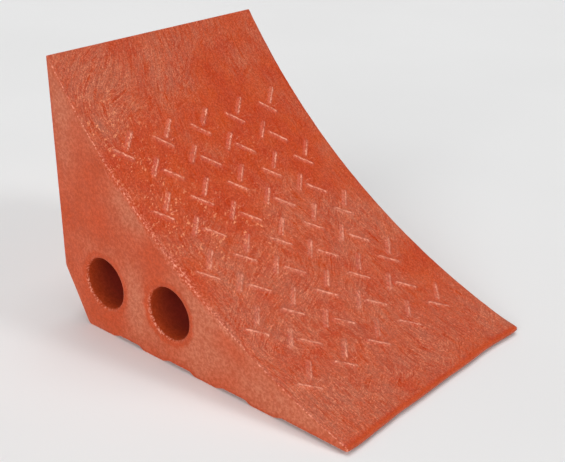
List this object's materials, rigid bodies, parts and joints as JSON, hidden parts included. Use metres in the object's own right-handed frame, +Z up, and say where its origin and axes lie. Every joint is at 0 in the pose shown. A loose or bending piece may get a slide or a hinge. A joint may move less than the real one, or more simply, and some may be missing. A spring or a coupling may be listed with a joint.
{
  "type": "wheel chock",
  "caption": "One-piece moulded wheel chock: a wedge with a concave ramp carrying raised tread bars, two cross holes for a rope or rod, and lands across its underside.",
  "frame": {"origin": "on the ground, in the middle of the chock's length and width", "axes": "+X from the flat back to the toe, +Y across the tyre, +Z up"},
  "size_m": [0.2616, 0.1968, 0.1953],
  "materials": {
    "urethane": "cast orange-red polyurethane, glossy and flow-marked on the ramp, smoother and duller on the sides"
  },
  "bodies": {
    "root": {"chock_body": "urethane"}
  },
  "joints": []
}
